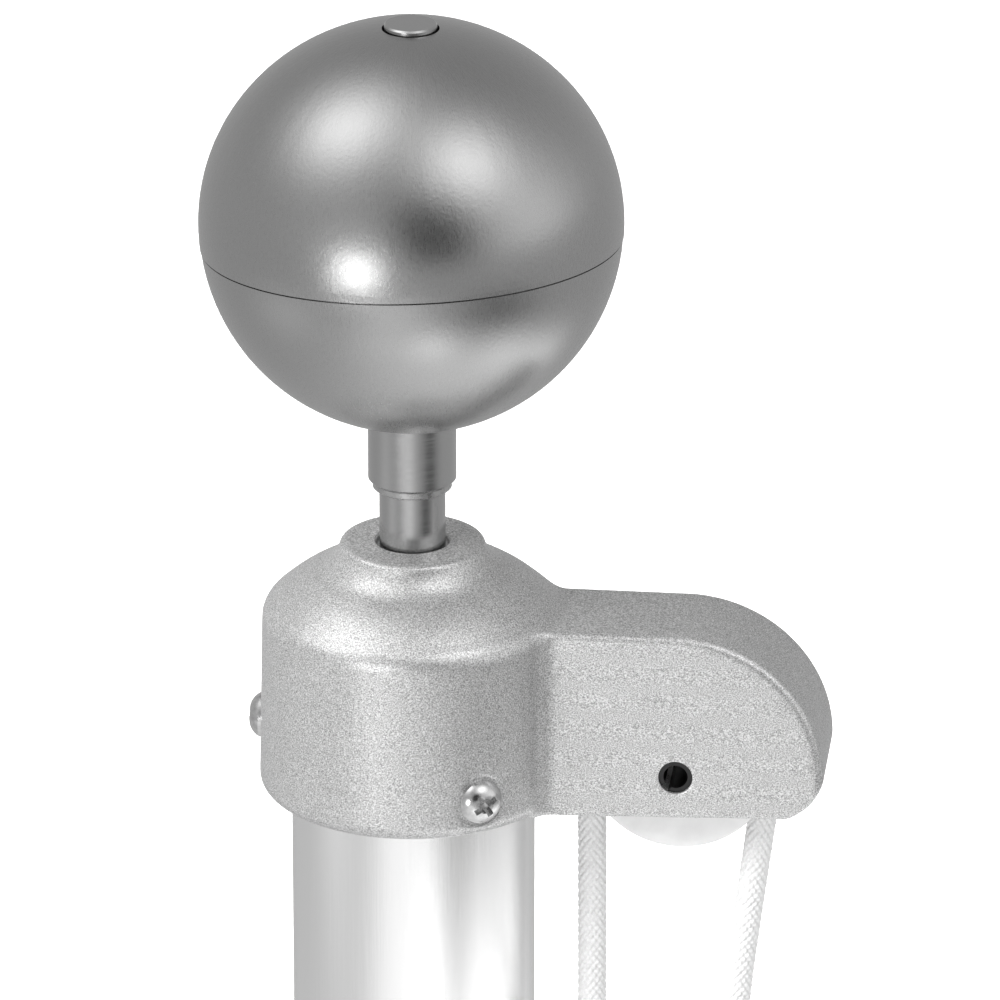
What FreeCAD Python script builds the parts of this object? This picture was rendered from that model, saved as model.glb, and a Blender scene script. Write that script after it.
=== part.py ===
"""Flagpole head: ball finial, cap truck with a pulley, halyard with two snap hooks, top of the pole.

Millimetres, +Z up along the pole, +X along the pulley arm.
The origin is the centre of the pole's open lower end.
"""

import FreeCAD, Part
import math
import os

V = FreeCAD.Vector
X_AXIS, Y_AXIS, Z_AXIS = V(1, 0, 0), V(0, 1, 0), V(0, 0, 1)
INCH = 25.4

# Pole
POLE_STUB = 132.0  # length of pole below the truck
POLE_R = 1.75 * INCH / 2
POLE_WALL = 1.65
POLE_SEAT = 22.0  # how far the pole goes up inside the truck

# Ball
BALL_R = 3.0 * INCH / 2
BALL_Z = POLE_STUB + 109.4
BALL_TOP_RISE = 36.9  # the upper half is slightly flattened
BALL_WALL = 1.2
SEAM_DROP = 3.4  # the seam lies this far below the centre
SEAM_LEAN = 3.9  # degrees that the seam's plane leans
SEAM_LEAN_WAY = 123.0  # degrees from +X, the side to which its upper face leans
SEAM_GAP = 0.3
HALF_STEP = 0.12  # the lower half is a touch smaller than the upper one
LAP_WALL = 1.0
LAP_RISE = 5.0  # height of the lower shell's lip inside the upper shell
LAP_ROOT = 3.0  # how far the lip's root goes down inside the lower shell
LAP_GAP = 0.2
DIMPLE_R = 5.15
ROD_GAP = 0.1

# Spindle and what it carries
SPINDLE_R = 6.0
ROD_R = 0.375 * INCH / 2
ROD_PROUD = 0.9
COLLAR_R = 8.0
COLLAR_Z = POLE_STUB + 59.7
SNAP_RING_R = 7.2
SNAP_RING_T = 1.3
SNAP_RING_GAP = 1.6
SNAP_RING_GAP_WAY = 150.0  # degrees from +X
THREAD_PITCH = 1.75
THREAD_DEPTH = 0.9

WASHER_R = 10.0
WASHER_T = 1.5
TOUCH_GAP = 0.05  # between two faces that only touch

# Truck body, heights measured from the skirt's lower edge
SKIRT_R_LOW = 28.1
SKIRT_R_HIGH = 27.4
SKIRT_FILLET = 2.8
ROUNDING_START = 33.0  # degrees from the arm at which the rounded lower edge starts
SKIRT_BORE_R = 22.6
SHOULDER_H = 35.4
NECK_R = 13.3
NECK_H = 47.9
NECK_HOLE_R = 6.6
NECK_HOLE_RIM = 0.35
NECK_HOLE_DEPTH = 1.0
BOSS_H = 32.8  # underside of the threaded boss
CAVITY_R = 18.0

# Pulley arm
PULLEY_X = 49.2
PULLEY_H = 8.5
NOSE_R = 26.8
ARM_HALF_TOP = 11.3
ARM_HALF_LOW = 12.9
ARM_TIP_RISE = 1.2  # the arm's lower edge rises towards the nose
ARM_EDGE_R = 1.6
ARM_ROOT_X = 15.0  # the arm's solid starts here, inside the skirt
ARM_ROOT_FILLET = 4.0
SLOT_HALF = 5.5
SLOT_R = 20.0

# Nut and lock washer inside the truck
NUT_FLATS = 0.75 * INCH
NUT_LOW = POLE_STUB + POLE_SEAT + 1.4
NUT_HEIGHT = 7.0
NUT_CHAMFER = 0.8
LOCK_WASHER_R = 9.9
LOCK_WASHER_SPLIT = 1.4

# Sheave, pin and rope
ROPE_R = 2.65
ROPE_GAP = 0.3  # between the rope and the groove
PITCH_R = 16.2
SHEAVE_R = 17.3
SHEAVE_HALF = 4.8
HUB_HALF = 5.2
HUB_R = 5.6
WEB_R = 8.4  # outer radius of the shallow recess round the hub
WEB_DEPTH = 1.2
LIP_WALL = 0.35  # flange beside the groove, at its rim
PIN_R = 3.1
PIN_WALL = 0.9
PIN_SLOT = 1.5
RUNNING_GAP = 0.06

# Screws: angle about the pole from +X, and height above the skirt's lower edge
SCREW_PLACES = [(180.0, 12.0), (-57.5, 7.0), (57.5, 7.0)]
SCREW_HEAD_R = 4.1
SCREW_HEAD_H = 2.6
SCREW_SHANK_R = 2.1
SCREW_SEAT_SINK = 0.45  # depth of the spot face at its middle
RECESS_SPAN = 4.6
RECESS_WING = 1.15
RECESS_DEPTH = 1.7
RECESS_TURN = 28.0

# Snap hooks, in a frame whose zero is the centre of the eye ring
EYE_R = 5.6
EYE_WIRE_R = 1.6
SHANK_R = 2.0
SHANK_HEAD_R = 3.2
HOUSING_R = 5.2
HOUSING_TOP, HOUSING_LOW = -8.6, -19.4
HOOK_HALF = 6.4  # distance of the spine and of the bolt from the swivel axis
HOOK_WIRE_R = 2.2
HOOK_ARC_H = -42.6
BARREL_R = 3.1
BARREL_TOP, BARREL_LOW = -18.0, -33.6
BORE_TOP = -20.0
BOLT_R = 1.75
BOLT_TIP, BOLT_TOP = -40.2, -29.0
BOLT_TRAVEL = 6.6
STUD_H = -31.6
STUD_R = 1.0
KNOB_R = 1.7
KNOB_T = 1.5
SPRING_WIRE_R = 0.3
SPRING_TURNS = 6

# Falls of the halyard: the left one hangs straight, the right one leans towards the pole
LEAN = math.radians(7.0)
KNOT_TOP = POLE_STUB - 47.0
KNOT_R = 7.6
KNOT_HEIGHT = 15.0
EYE_DROP = 26.5  # from the knot's top to the centre of the eye ring
BEND_RISE = 6.0  # the leaning fall straightens this far above its knot


def pulley_z():
    return POLE_STUB + PULLEY_H


def edge_line(a, b):
    return Part.LineSegment(V(a[0], 0, a[1]), V(b[0], 0, b[1])).toShape()


def edge_arc(a, middle, b):
    points = [V(p[0], 0, p[1]) for p in (a, middle, b)]
    return Part.Arc(*points).toShape()


def outline(steps):
    """Closed face in the XZ plane. A step is a corner, or (middle, end) for an arc."""
    edges = []
    here = steps[0]
    for step in steps[1:] + [steps[0]]:
        if isinstance(step[0], tuple):
            edges.append(edge_arc(here, step[0], step[1]))
            here = step[1]
        else:
            edges.append(edge_line(here, step))
            here = step
    return Part.Face(Part.Wire(edges))


def turned(steps, centre=V(0, 0, 0), axis=Z_AXIS):
    return outline(steps).revolve(centre, axis, 360)


def rod(radius, low, high, x=0.0, y=0.0):
    return Part.makeCylinder(radius, high - low, V(x, y, low), Z_AXIS)


def along_y(radius, half_length, x, z):
    return Part.makeCylinder(radius, 2 * half_length, V(x, -half_length, z), Y_AXIS)


def samples(edge, count=5):
    """Points spread evenly along an edge."""
    first, last = edge.ParameterRange
    return [edge.valueAt(first + (last - first) * k / (count - 1)) for k in range(count)]


def edges_where(shape, test):
    """Edges with every sampled point passing the test."""
    return [edge for edge in shape.Edges if all(test(p) for p in samples(edge))]


def sphere_height(radius, r):
    return math.sqrt(radius * radius - r * r)


# Ball -----------------------------------------------------------------------------------------


def oval_arc(inset, r_end):
    """Quarter of the flattened upper half, from the equator up to radius r_end."""
    width = BALL_R - inset
    rise = BALL_TOP_RISE - inset
    curve = Part.Ellipse(V(width, 0, BALL_Z), V(0, 0, BALL_Z + rise), V(0, 0, BALL_Z))
    return Part.ArcOfEllipse(curve, 0, math.acos(r_end / width)).toShape()


def oval_point(inset, r):
    width = BALL_R - inset
    rise = BALL_TOP_RISE - inset
    return (r, BALL_Z + rise * math.sqrt(1 - (r / width) ** 2))


def sphere_point(inset, z):
    return (math.sqrt((BALL_R - inset) ** 2 - (z - BALL_Z) ** 2), z)


def sphere_arc(inset, z_start, z_end):
    middle = (z_start + z_end) / 2
    return edge_arc(*[sphere_point(inset, z) for z in (z_start, middle, z_end)])


def revolved(edges):
    wire = Part.Wire(Part.__sortEdges__(edges))
    return Part.Face(wire).revolve(V(0, 0, 0), Z_AXIS, 360)


def seam_half_space(height, upper):
    """Everything on one side of a plane that leans with the seam, at this height above the centre."""
    size = 3 * BALL_R
    block = Part.makeBox(2 * size, 2 * size, size, V(-size, -size, 0 if upper else -size))
    block.translate(V(0, 0, height))
    way = math.radians(SEAM_LEAN_WAY)
    block.rotate(V(0, 0, 0), V(-math.sin(way), math.cos(way), 0), SEAM_LEAN)
    block.translate(V(0, 0, BALL_Z))
    return block


def ball_upper_shell():
    """Upper half: slightly flattened, open round the rod's end, and cut off at the seam."""
    foot = BALL_Z - BALL_R / 2
    shell = revolved([
        oval_arc(0, DIMPLE_R),
        edge_line(oval_point(0, DIMPLE_R), oval_point(BALL_WALL, DIMPLE_R)),
        oval_arc(BALL_WALL, DIMPLE_R),
        sphere_arc(BALL_WALL, BALL_Z, foot),
        edge_line(sphere_point(BALL_WALL, foot), sphere_point(0, foot)),
        sphere_arc(0, foot, BALL_Z),
    ])
    return shell.cut(seam_half_space(-SEAM_DROP, False))


def ball_lower_shell():
    """Lower half. Its lip steps in and stands up inside the upper half."""
    outer = BALL_R - HALF_STEP
    inner = outer - BALL_WALL
    centre = V(0, 0, BALL_Z)
    seam = -SEAM_DROP - SEAM_GAP
    shell = Part.makeSphere(outer, centre).cut(Part.makeSphere(inner, centre))
    shell = shell.cut(seam_half_space(seam, True))
    lip_outer = BALL_R - BALL_WALL - LAP_GAP
    lip = Part.makeSphere(lip_outer, centre).cut(Part.makeSphere(lip_outer - LAP_WALL, centre))
    lip = lip.cut(seam_half_space(LAP_RISE - SEAM_DROP, True))
    lip = lip.cut(seam_half_space(seam - LAP_ROOT, False))
    root = Part.makeSphere(inner + HALF_STEP, centre).cut(Part.makeSphere(lip_outer - LAP_WALL / 2, centre))
    root = root.cut(seam_half_space(seam, True)).cut(seam_half_space(seam - LAP_ROOT + 0.5, False))
    whole = shell.fuse([lip, root]).removeSplitter()
    return whole.cut(rod(ROD_R + ROD_GAP, BALL_Z - 1.2 * BALL_R, BALL_Z - BALL_R / 2))


def ball_top_washer():
    """Backing washer inside the top of the ball, under the riveted rod end."""
    top = oval_point(BALL_WALL, WASHER_R)[1] - TOUCH_GAP
    bore = ROD_R + ROD_GAP
    return turned([(bore, top - WASHER_T), (WASHER_R, top - WASHER_T), (WASHER_R, top), (bore, top)])


def spindle():
    """Rod with a threaded lower end, turned down where it runs through the ball."""
    shoulder = BALL_Z - sphere_height(BALL_R, ROD_R) - 0.1
    low = POLE_STUB + POLE_SEAT + 0.6
    thread_top = POLE_STUB + NECK_H - NECK_HOLE_DEPTH - 1.0
    major = SPINDLE_R - 0.05
    minor = major - THREAD_DEPTH
    top = oval_point(0, ROD_R)[1] + ROD_PROUD
    steps = [(0, low), (minor, low)]
    z = low + 0.4
    while z + THREAD_PITCH < thread_top:
        steps += [(minor, z), (major, z + THREAD_PITCH / 2), (minor, z + THREAD_PITCH)]
        z += THREAD_PITCH + 0.02
    steps += [(minor, thread_top), (SPINDLE_R, thread_top + 0.8), (SPINDLE_R, shoulder - 0.4)]
    steps += [(SPINDLE_R - 0.4, shoulder), (ROD_R, shoulder), (ROD_R, top - 0.3)]
    steps += [(ROD_R - 0.3, top), (0, top)]
    return turned(steps)


def ball_collar():
    """Sleeve under the ball, its upper end cupped to fit the ball."""
    top = BALL_Z - sphere_height(BALL_R, COLLAR_R) + 0.5
    bore = SPINDLE_R + 0.05
    low = COLLAR_Z
    sleeve = turned([(bore, low), (COLLAR_R - 0.6, low), (COLLAR_R, low + 0.6), (COLLAR_R, top),
                     (bore, top)])
    return sleeve.cut(Part.makeSphere(BALL_R + 0.02, V(0, 0, BALL_Z)))


def collar_snap_ring():
    """Retaining ring in its groove, which holds the collar up against the ball."""
    bore, high = SPINDLE_R + 0.02, COLLAR_Z - 0.02
    low = COLLAR_Z - SNAP_RING_T
    ring = turned([(bore, low), (SNAP_RING_R - 0.2, low), (SNAP_RING_R, low + 0.2), (SNAP_RING_R, high),
                   (bore, high)])
    gap = Part.makeBox(3 * SNAP_RING_R, SNAP_RING_GAP, 4, V(0, -SNAP_RING_GAP / 2, COLLAR_Z - 2.5))
    gap.rotate(V(0, 0, 0), Z_AXIS, SNAP_RING_GAP_WAY)
    return ring.cut(gap)


# Truck ----------------------------------------------------------------------------------------


def at_height(points):
    """Outline points given as (r, height above the skirt's edge), moved to the part's frame."""
    moved = []
    for p in points:
        if isinstance(p[0], tuple):
            moved.append(tuple((q[0], q[1] + POLE_STUB) for q in p))
        else:
            moved.append((p[0], p[1] + POLE_STUB))
    return moved


def truck_body():
    """Skirt, shallow dome and flared neck as one solid of revolution, without its bores."""
    return turned(at_height([
        (0, 0),
        (SKIRT_R_LOW, 0),
        (SKIRT_R_HIGH, SHOULDER_H - 2.2),
        ((26.9, 35.0), (25.2, 36.9)),
        ((21.4, 40.0), (17.4, 42.3)),
        ((14.9, 44.1), (NECK_R, 46.7)),
        ((NECK_R - 0.25, 47.5), (NECK_R - 1.2, NECK_H)),
        (0, NECK_H),
    ]))


def skirt_rounding():
    """Ring that rounds the skirt's lower edge, from one side of the arm round to the other."""
    f = SKIRT_FILLET
    section = outline(at_height([
        (SKIRT_R_LOW - f, 0), ((SKIRT_R_LOW - 0.29 * f, 0.29 * f), (SKIRT_R_LOW, f)),
        (SKIRT_R_LOW + 3, f), (SKIRT_R_LOW + 3, -1), (SKIRT_R_LOW - f, -1),
    ]))
    section.rotate(V(0, 0, 0), Z_AXIS, ROUNDING_START)
    return section.revolve(V(0, 0, 0), Z_AXIS, 360 - 2 * ROUNDING_START)


def arm_outline():
    """Side view of the arm. It starts inside the skirt and ends in a round nose."""
    nose_low = PULLEY_H - 0.2  # where the round nose meets the short curve under it
    reach = PULLEY_X + math.sqrt(NOSE_R ** 2 - (nose_low - PULLEY_H) ** 2)
    slant = math.radians(45)
    middle = (PULLEY_X + NOSE_R * math.cos(slant), PULLEY_H + NOSE_R * math.sin(slant))
    return outline(at_height([
        (ARM_ROOT_X, 0.0),
        (28.0, 0.0),
        (PULLEY_X + 20.3, ARM_TIP_RISE),
        ((reach - 2.6, 3.9), (reach, nose_low)),
        (middle, (PULLEY_X, PULLEY_H + NOSE_R)),
        (ARM_ROOT_X, PULLEY_H + NOSE_R),
    ]))


def arm_solid():
    """The outline given its width, which narrows upwards as a casting's draft needs."""
    block = arm_outline().extrude(V(0, 60, 0))
    block.translate(V(0, -30, 0))
    top = PULLEY_H + NOSE_R
    corners = [(-ARM_HALF_LOW, 0), (ARM_HALF_LOW, 0), (ARM_HALF_TOP, top), (-ARM_HALF_TOP, top)]
    points = [V(0, y, POLE_STUB + h) for y, h in corners]
    wedge = Part.Face(Part.makePolygon(points + points[:1])).extrude(V(100, 0, 0))
    return block.common(wedge)


def arm_slot():
    """Space for the sheave and the rope, open downwards."""
    back = PULLEY_X - SLOT_R
    front = PULLEY_X + SLOT_R
    over = (PULLEY_X, PULLEY_H + SLOT_R)
    face = outline(at_height([
        (back, -1.0),
        (back, PULLEY_H),
        ((PULLEY_X - SLOT_R * 0.7071, PULLEY_H + SLOT_R * 0.7071), over),
        ((PULLEY_X + SLOT_R * 0.7071, PULLEY_H + SLOT_R * 0.7071), (front, PULLEY_H)),
        (front, 5.5),
        (front + 4.0, -1.0),
    ]))
    slot = face.extrude(V(0, 2 * SLOT_HALF, 0))
    slot.translate(V(0, -SLOT_HALF, 0))
    return slot


def screw_axis(angle):
    return V(math.cos(math.radians(angle)), math.sin(math.radians(angle)), 0)


def screw_hole(angle, height, radius):
    start = screw_axis(angle) * (POLE_R - POLE_WALL - 2)
    return Part.makeCylinder(radius, 14, start + V(0, 0, POLE_STUB + height), screw_axis(angle))


def truck_bores():
    """Everything cut out of the casting."""
    edge = POLE_STUB
    neck_low = NECK_H - NECK_HOLE_DEPTH
    inside = turned(at_height([
        (0, -1), (SKIRT_BORE_R + 1.8, -1), (SKIRT_BORE_R, 0.8), (SKIRT_BORE_R, POLE_SEAT),
        (CAVITY_R, POLE_SEAT), (CAVITY_R, BOSS_H - 2), (CAVITY_R - 2, BOSS_H), (0, BOSS_H),
    ]))
    thread = rod(SPINDLE_R + 0.02, edge + BOSS_H - 1, edge + NECK_H)
    counterbore = rod(NECK_HOLE_R, edge + neck_low, edge + NECK_H + 1)
    rim_low = V(0, 0, edge + NECK_H - NECK_HOLE_RIM)
    rim = Part.makeCone(NECK_HOLE_R, NECK_HOLE_R + 2 * NECK_HOLE_RIM, 2 * NECK_HOLE_RIM, rim_low, Z_AXIS)
    tools = [inside, thread, counterbore, rim, arm_slot()]
    tools.append(along_y(PIN_R + 0.02, 30, PULLEY_X, pulley_z()))
    tools += [screw_hole(angle, height, SCREW_SHANK_R + 0.05) for angle, height in SCREW_PLACES]
    return tools


def screw_seats():
    """Flat spot faces cut into the skirt, one under each screw head."""
    seats = []
    for angle, height in SCREW_PLACES:
        start = screw_axis(angle) * seat_radius(height) + V(0, 0, POLE_STUB + height)
        seats.append(Part.makeCylinder(SCREW_HEAD_R + 0.7, 6, start, screw_axis(angle)))
    return seats


def seat_radius(height):
    """Distance from the pole's axis to the plane that a screw head sits on."""
    slope = (SKIRT_R_LOW - SKIRT_R_HIGH) / SHOULDER_H
    return SKIRT_R_LOW - slope * height - SCREW_SEAT_SINK


def touches(shape, point):
    return Part.Vertex(point).distToShape(shape)[0] < 0.02


def truck_casting():
    body = truck_body()
    arm = arm_solid()
    whole = body.fuse(arm).removeSplitter()
    roots = edges_where(whole, lambda p: touches(body, p) and touches(arm, p))
    roots = [edge for edge in roots if edge.BoundBox.ZMax > POLE_STUB + 1]
    whole = whole.makeFillet(ARM_ROOT_FILLET, roots)
    rims = edges_where(whole, lambda p: p.x > 24 and p.z > POLE_STUB + 8
                       and abs(abs(p.y) - half_width(p.z)) < 0.06)
    rims = [edge for edge in rims if edge.BoundBox.XMax > 30]
    whole = whole.makeFillet(ARM_EDGE_R, rims)
    for tool in [skirt_rounding()] + truck_bores() + screw_seats():
        whole = whole.cut(tool)
    return whole


def half_width(z):
    share = (z - POLE_STUB) / (PULLEY_H + NOSE_R)
    return ARM_HALF_LOW + (ARM_HALF_TOP - ARM_HALF_LOW) * share


def pole_screw(angle, height):
    """Pan-head screw lying along +X, then moved to its place."""
    h = SCREW_HEAD_H
    tip = -(SKIRT_R_LOW - POLE_R + POLE_WALL) + 0.9
    face = outline([
        (tip, 0), (tip, SCREW_SHANK_R - 0.5), (tip + 0.8, SCREW_SHANK_R), (0, SCREW_SHANK_R),
        (0, SCREW_HEAD_R), (0.7, SCREW_HEAD_R), ((h * 0.72, SCREW_HEAD_R * 0.78), (h, 1.4)), (h, 0),
    ])
    screw = face.revolve(V(0, 0, 0), X_AXIS, 360)
    floor = h - RECESS_DEPTH
    for half_y, half_z in ((RECESS_SPAN / 2, RECESS_WING / 2), (RECESS_WING / 2, RECESS_SPAN / 2)):
        wing = Part.makeBox(RECESS_DEPTH + 1, 2 * half_y, 2 * half_z, V(floor, -half_y, -half_z))
        screw = screw.cut(wing)
    taper = Part.makeCone(0.3, RECESS_WING + 0.35, RECESS_DEPTH + 0.3, V(floor - 0.2, 0, 0), X_AXIS)
    screw = screw.cut(taper)
    screw.rotate(V(0, 0, 0), X_AXIS, RECESS_TURN)
    screw.rotate(V(0, 0, 0), Z_AXIS, angle)
    screw.translate(screw_axis(angle) * (seat_radius(height) + 0.02) + V(0, 0, POLE_STUB + height))
    return screw


def truck_screws():
    return Part.makeCompound([pole_screw(angle, height) for angle, height in SCREW_PLACES])


def spindle_jam_nut():
    """Hexagon nut on the spindle, inside the truck."""
    low, high = NUT_LOW, NUT_LOW + NUT_HEIGHT
    corner = NUT_FLATS / math.sqrt(3)
    flat = NUT_FLATS / 2 - 0.2
    points = [V(corner * math.cos(math.radians(60 * k)), corner * math.sin(math.radians(60 * k)), low)
              for k in range(7)]
    hexagon = Part.Face(Part.makePolygon(points)).extrude(V(0, 0, NUT_HEIGHT))
    crown = turned([(0, low), (flat, low), (corner, low + NUT_CHAMFER), (corner, high - NUT_CHAMFER),
                    (flat, high), (0, high)])
    return hexagon.common(crown).cut(rod(SPINDLE_R + 0.02, low - 1, high + 1))


def spindle_lock_washer():
    """Split spring washer between the nut and the boss."""
    low = NUT_LOW + NUT_HEIGHT + TOUCH_GAP
    high = POLE_STUB + BOSS_H - TOUCH_GAP
    bore = SPINDLE_R + 0.3
    ring = turned([(bore, low), (LOCK_WASHER_R, low), (LOCK_WASHER_R, high), (bore, high)])
    gap = Part.makeBox(12, LOCK_WASHER_SPLIT, 6, V(0, -LOCK_WASHER_SPLIT / 2, low - 1))
    gap.rotate(V(0, 0, low), X_AXIS, 25)
    return ring.cut(gap)


# Pulley ---------------------------------------------------------------------------------------


def sheave():
    """Grooved nylon wheel, turned about Y."""
    groove = ROPE_R + ROPE_GAP
    lip = groove + LIP_WALL
    bottom = PITCH_R - groove
    web = SHEAVE_HALF - WEB_DEPTH
    flank = [
        (PIN_R + RUNNING_GAP, HUB_HALF), (HUB_R, HUB_HALF), (HUB_R + 0.4, web), (WEB_R, web),
        (WEB_R + 0.6, SHEAVE_HALF), (SHEAVE_R - 0.5, SHEAVE_HALF),
        ((SHEAVE_R - 0.1, SHEAVE_HALF - 0.3), (SHEAVE_R, lip + 0.4)),
    ]
    face = outline(
        flank + [(PITCH_R, groove), ((bottom, 0), (PITCH_R, -groove)), (SHEAVE_R, -lip - 0.4)]
        + [((SHEAVE_R - 0.1, 0.3 - SHEAVE_HALF), (SHEAVE_R - 0.5, -SHEAVE_HALF))]
        + [(r, -y) for r, y in reversed(flank[:5])]
    )
    wheel = face.revolve(V(0, 0, 0), Z_AXIS, 360)
    wheel.rotate(V(0, 0, 0), X_AXIS, 90)
    wheel.translate(V(PULLEY_X, 0, pulley_z()))
    return wheel


def sheave_pin():
    """Rolled spring pin with a lengthwise slot, pressed into both cheeks of the arm."""
    half = half_width(pulley_z()) - 0.5
    pin = along_y(PIN_R, half, PULLEY_X, pulley_z())
    pin = pin.cut(along_y(PIN_R - PIN_WALL, half + 1, PULLEY_X, pulley_z()))
    slot = Part.makeBox(PIN_R + 2, 2 * half + 2, PIN_SLOT, V(0, -half - 1, -PIN_SLOT / 2))
    slot.rotate(V(0, 0, 0), Y_AXIS, 130)
    slot.translate(V(PULLEY_X, 0, pulley_z()))
    return pin.cut(slot)


# Pole -----------------------------------------------------------------------------------------


def pole_tube():
    top = POLE_STUB + POLE_SEAT - 0.1
    inner = POLE_R - POLE_WALL
    tube = turned([(inner, 0), (POLE_R - 0.3, 0), (POLE_R, 0.3), (POLE_R, top),
                   (inner, top)])
    for angle, height in SCREW_PLACES:
        tube = tube.cut(screw_hole(angle, height, SCREW_SHANK_R + 0.05))
    return tube


# Halyard --------------------------------------------------------------------------------------


def fall_a():
    """X of the fall on the pole's side."""
    return PULLEY_X - PITCH_R


def fall_b_line(z):
    """X of the leaning fall at height z."""
    tangent_x = PULLEY_X + PITCH_R * math.cos(LEAN)
    tangent_z = pulley_z() - PITCH_R * math.sin(LEAN)
    return tangent_x - (tangent_z - z) * math.tan(LEAN)


def fall_b():
    """X of the second fall where it hangs straight, from its bend down to its knot."""
    return fall_b_line(KNOT_TOP + BEND_RISE)


def halyard():
    """One rope: up, round the sheave, down at a lean, then straight down to its knot."""
    centre = (PULLEY_X, pulley_z())
    on = (fall_a(), pulley_z())
    over = (PULLEY_X, pulley_z() + PITCH_R)
    off = (PULLEY_X + PITCH_R * math.cos(LEAN), centre[1] - PITCH_R * math.sin(LEAN))
    bend_z = KNOT_TOP + BEND_RISE
    setback = 0.45 * BEND_RISE
    bend_r = setback / math.tan(LEAN / 2)
    before = (fall_b_line(bend_z + setback * math.cos(LEAN)), bend_z + setback * math.cos(LEAN))
    after = (fall_b(), bend_z - setback)
    sag = bend_r * (1 - math.cos(LEAN / 2))
    middle = (fall_b() + sag * math.cos(LEAN / 2), bend_z + sag * math.sin(LEAN / 2))
    edges = [
        edge_line((fall_a(), KNOT_TOP), on),
        edge_arc(on, over, off),
        edge_line(off, before),
        edge_arc(before, middle, after),
        edge_line(after, (fall_b(), KNOT_TOP)),
    ]
    path = Part.Wire(edges)
    section = Part.Wire([Part.makeCircle(ROPE_R, V(fall_a(), 0, KNOT_TOP), Z_AXIS)])
    rope = path.makePipeShell([section], True, False)
    ideal = math.pi * ROPE_R ** 2 * path.Length
    print("halyard: length %.1f, radii %.1f and %.1f, volume over ideal %.4f"
          % (path.Length, PITCH_R, bend_r, rope.Volume / ideal))
    return rope


def halyard_knot(x):
    """Barrel of wraps round the rope, and the loop that it draws tight on the snap's eye."""
    low = KNOT_TOP - KNOT_HEIGHT
    r = KNOT_R
    barrel = turned([
        (0, low), (r - 3, low), ((r - 0.9, low + 0.9), (r, low + 3)), (r, KNOT_TOP - 3 - 0.02),
        ((r - 0.9, KNOT_TOP - 0.92), (r - 3, KNOT_TOP - 0.02)), (0, KNOT_TOP - 0.02),
    ])
    turn_z = KNOT_TOP - EYE_DROP + EYE_R
    turn_r = EYE_WIRE_R + ROPE_R + 0.3
    loop = Part.makeTorus(turn_r, ROPE_R, V(0, 0, turn_z), X_AXIS)
    keep = Part.makeBox(40, 40, 40, V(-20, -20, turn_z - 40))
    legs = [rod(ROPE_R, turn_z, low + 3, 0, side * turn_r) for side in (-1, 1)]
    knot = barrel.fuse([loop.common(keep)] + legs).removeSplitter()
    knot.translate(V(x, 0, 0))
    return knot


# Snap hooks -----------------------------------------------------------------------------------


def snap_eye():
    """Swivel eye: ring, shank and the riveted head that turns in the hook's housing."""
    ring = Part.makeTorus(EYE_R, EYE_WIRE_R, V(0, 0, 0), Y_AXIS)
    head_low = HOUSING_TOP - 5.4
    shank = rod(SHANK_R, head_low, -EYE_R)
    neck = Part.makeCone(SHANK_R, 2.7, 1.2, V(0, 0, HOUSING_TOP + 0.3), Z_AXIS)
    head = turned([(0, head_low - 1.3), (SHANK_HEAD_R - 1.2, head_low - 1.3), (SHANK_HEAD_R, head_low - 0.2),
                   (SHANK_HEAD_R, head_low + 0.6), (0, head_low + 0.6)])
    return ring.fuse([shank, neck, head]).removeSplitter()


def snap_hook():
    """Housing for the swivel, bolt barrel on one side, spine and round hook on the other."""
    housing = turned([
        (0, HOUSING_LOW), (HOUSING_R, HOUSING_LOW), (HOUSING_R, HOUSING_TOP - 1.0),
        ((HOUSING_R - 0.3, HOUSING_TOP - 0.3), (HOUSING_R - 1.0, HOUSING_TOP)), (0, HOUSING_TOP),
    ])
    crown = Part.makeBox(2 * HOOK_HALF, 2 * HOOK_WIRE_R + 0.6, 4.6,
                         V(-HOOK_HALF, -HOOK_WIRE_R - 0.3, HOUSING_LOW - 1.6))
    barrel = rod(BARREL_R, BARREL_LOW, BARREL_TOP, HOOK_HALF)
    barrel = barrel.makeFillet(1.0, edges_where(barrel, lambda p: p.z > BARREL_TOP - 0.01))
    shoulder = Part.makeSphere(HOOK_WIRE_R + 0.3, V(-HOOK_HALF, 0, HOUSING_LOW + 0.7))
    spine = rod(HOOK_WIRE_R, HOOK_ARC_H, HOUSING_LOW + 0.7, -HOOK_HALF)
    arc = Part.makeTorus(HOOK_HALF, HOOK_WIRE_R, V(0, 0, HOOK_ARC_H), Y_AXIS)
    arc = arc.common(Part.makeBox(40, 40, 40, V(-20, -20, HOOK_ARC_H - 40)))
    tip = rod(HOOK_WIRE_R, HOOK_ARC_H, BOLT_TIP + 1.2, HOOK_HALF)
    body = housing.fuse([crown, barrel, shoulder, spine, arc, tip]).removeSplitter()
    window = Part.makeBox(2 * SHANK_HEAD_R + 0.8, 20, 4.6, V(-SHANK_HEAD_R - 0.4, -10, HOUSING_TOP - 7.6))
    cuts = [
        window,
        rod(SHANK_R + RUNNING_GAP, HOUSING_TOP - 4, HOUSING_TOP + 1),
        rod(BOLT_R + RUNNING_GAP, BARREL_LOW - 1, BORE_TOP, HOOK_HALF),
        rod(BOLT_R + 0.3, BOLT_TIP - 0.3, BOLT_TIP + 3, HOOK_HALF),
        stud_slot(),
    ]
    for tool in cuts:
        body = body.cut(tool)
    return body


def stud_slot():
    """Slot in the front of the barrel that the thumb stud slides along."""
    half = STUD_R + 0.12
    low, high = STUD_H, STUD_H + BOLT_TRAVEL + 0.3
    box = Part.makeBox(2 * half, 8, high - low, V(HOOK_HALF - half, -8, low))
    ends = [Part.makeCylinder(half, 8, V(HOOK_HALF, -8, z), Y_AXIS) for z in (low, high)]
    return box.fuse(ends)


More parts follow.
